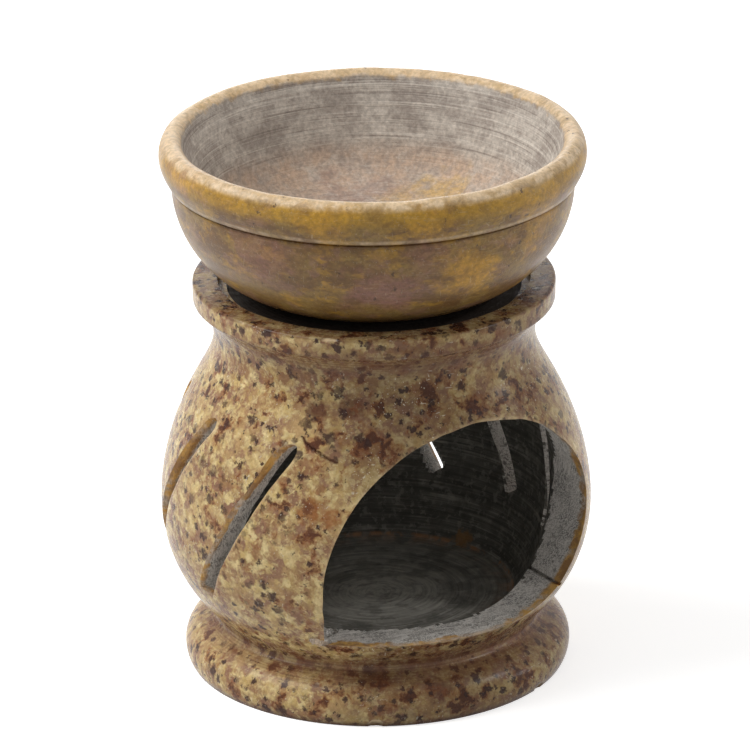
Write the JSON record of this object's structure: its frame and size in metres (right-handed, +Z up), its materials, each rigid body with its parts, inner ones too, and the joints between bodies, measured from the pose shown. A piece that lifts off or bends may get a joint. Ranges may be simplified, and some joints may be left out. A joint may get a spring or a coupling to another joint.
{
  "type": "essential oil burner",
  "caption": "Turned soapstone oil burner: a hollow bulb on a round foot, with an arched candle window, leaning vent slots and a collar that seats a loose bowl for water and oil.",
  "frame": {"origin": "middle of the flat base, on the surface that the burner stands on", "axes": "+Z up along the turning axis, the candle window faces -Y"},
  "size_m": [0.08, 0.0791, 0.1027],
  "materials": {
    "body_stone": "waxed, mottled tan and brown",
    "bowl_stone": "waxed, ochre and mauve"
  },
  "bodies": {
    "body": {"burner_body": "body_stone"},
    "bowl": {"oil_bowl": "bowl_stone"}
  },
  "joints": [
    {"name": "bowl_lift", "type": "slide", "parent": "body", "child": "bowl", "axis": [0, 0, 1], "range_m": [0, 0.08]}
  ]
}
